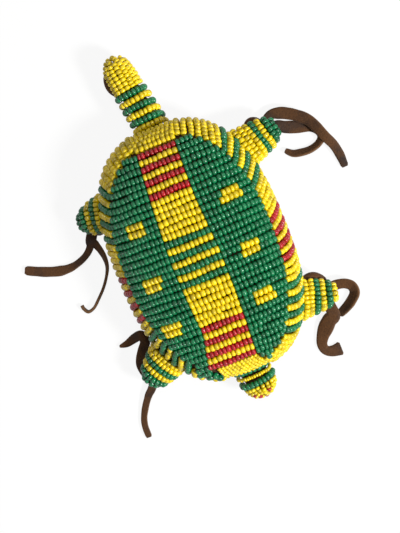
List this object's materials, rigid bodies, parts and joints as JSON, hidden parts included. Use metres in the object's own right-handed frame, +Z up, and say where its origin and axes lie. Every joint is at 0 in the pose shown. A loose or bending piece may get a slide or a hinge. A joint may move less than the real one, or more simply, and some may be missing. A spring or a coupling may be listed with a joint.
{
  "type": "beaded turtle amulet",
  "caption": "Stuffed hide turtle amulet covered in rows of yellow, green and red glass seed beads, with a hide thong slit in two hanging from each foot.",
  "frame": {"origin": "centre of the flat belly face that the turtle rests on", "axes": "+Y towards the head along the shell, +Z up from the belly through the shell, +X to the turtle's right"},
  "size_m": [0.1133, 0.122, 0.028],
  "materials": {
    "smoked_hide": "matte",
    "yellow_glass": "glossy",
    "green_glass": "glossy",
    "red_glass": "glossy"
  },
  "bodies": {
    "root": {"stuffed_hide_body": "smoked_hide", "right_front_thong": "smoked_hide", "right_rear_thong": "smoked_hide", "left_front_thong": "smoked_hide", "left_rear_thong": "smoked_hide", "centre_red_row_1": "red_glass", "centre_yellow_row_1": "yellow_glass", "centre_red_row_2": "red_glass", "centre_yellow_row_2": "yellow_glass", "centre_red_row_3": "red_glass", "centre_yellow_row_3": "yellow_glass", "centre_red_row_4": "red_glass", "centre_yellow_field_1": "yellow_glass", "centre_green_row_1": "green_glass", "centre_yellow_row_4": "yellow_glass", "centre_green_row_2": "green_glass", "centre_yellow_row_5": "yellow_glass", "centre_green_row_3": "green_glass", "centre_yellow_row_6": "yellow_glass", "centre_green_row_4": "green_glass", "centre_yellow_field_2": "yellow_glass", "centre_red_row_5": "red_glass", "centre_yellow_row_7": "yellow_glass", "centre_red_row_6": "red_glass", "centre_yellow_row_8": "yellow_glass", "centre_red_row_7": "red_glass", "centre_yellow_row_9": "yellow_glass", "centre_red_row_8": "red_glass", "left_lane": "green_glass", "right_lane": "green_glass", "right_front_rim": "yellow_glass", "right_middle_rim": "yellow_glass", "right_rear_rim": "yellow_glass", "right_front_leg_root_wraps": "green_glass", "right_rear_leg_root_wraps": "green_glass", "left_front_rim": "yellow_glass", "left_middle_rim": "yellow_glass", "left_rear_rim": "yellow_glass", "left_front_leg_root_wraps": "green_glass", "left_rear_leg_root_wraps": "green_glass", "right_front_leg_sleeve": "yellow_glass", "right_rear_leg_sleeve": "yellow_glass", "left_front_leg_sleeve": "green_glass", "left_rear_leg_sleeve": "green_glass", "neck_arcs": "yellow_glass", "tail_columns": "yellow_glass", "head_rings": "yellow_glass", "head_tip": "yellow_glass", "tail_tip": "yellow_glass", "tail_band": "green_glass"}
  },
  "joints": []
}
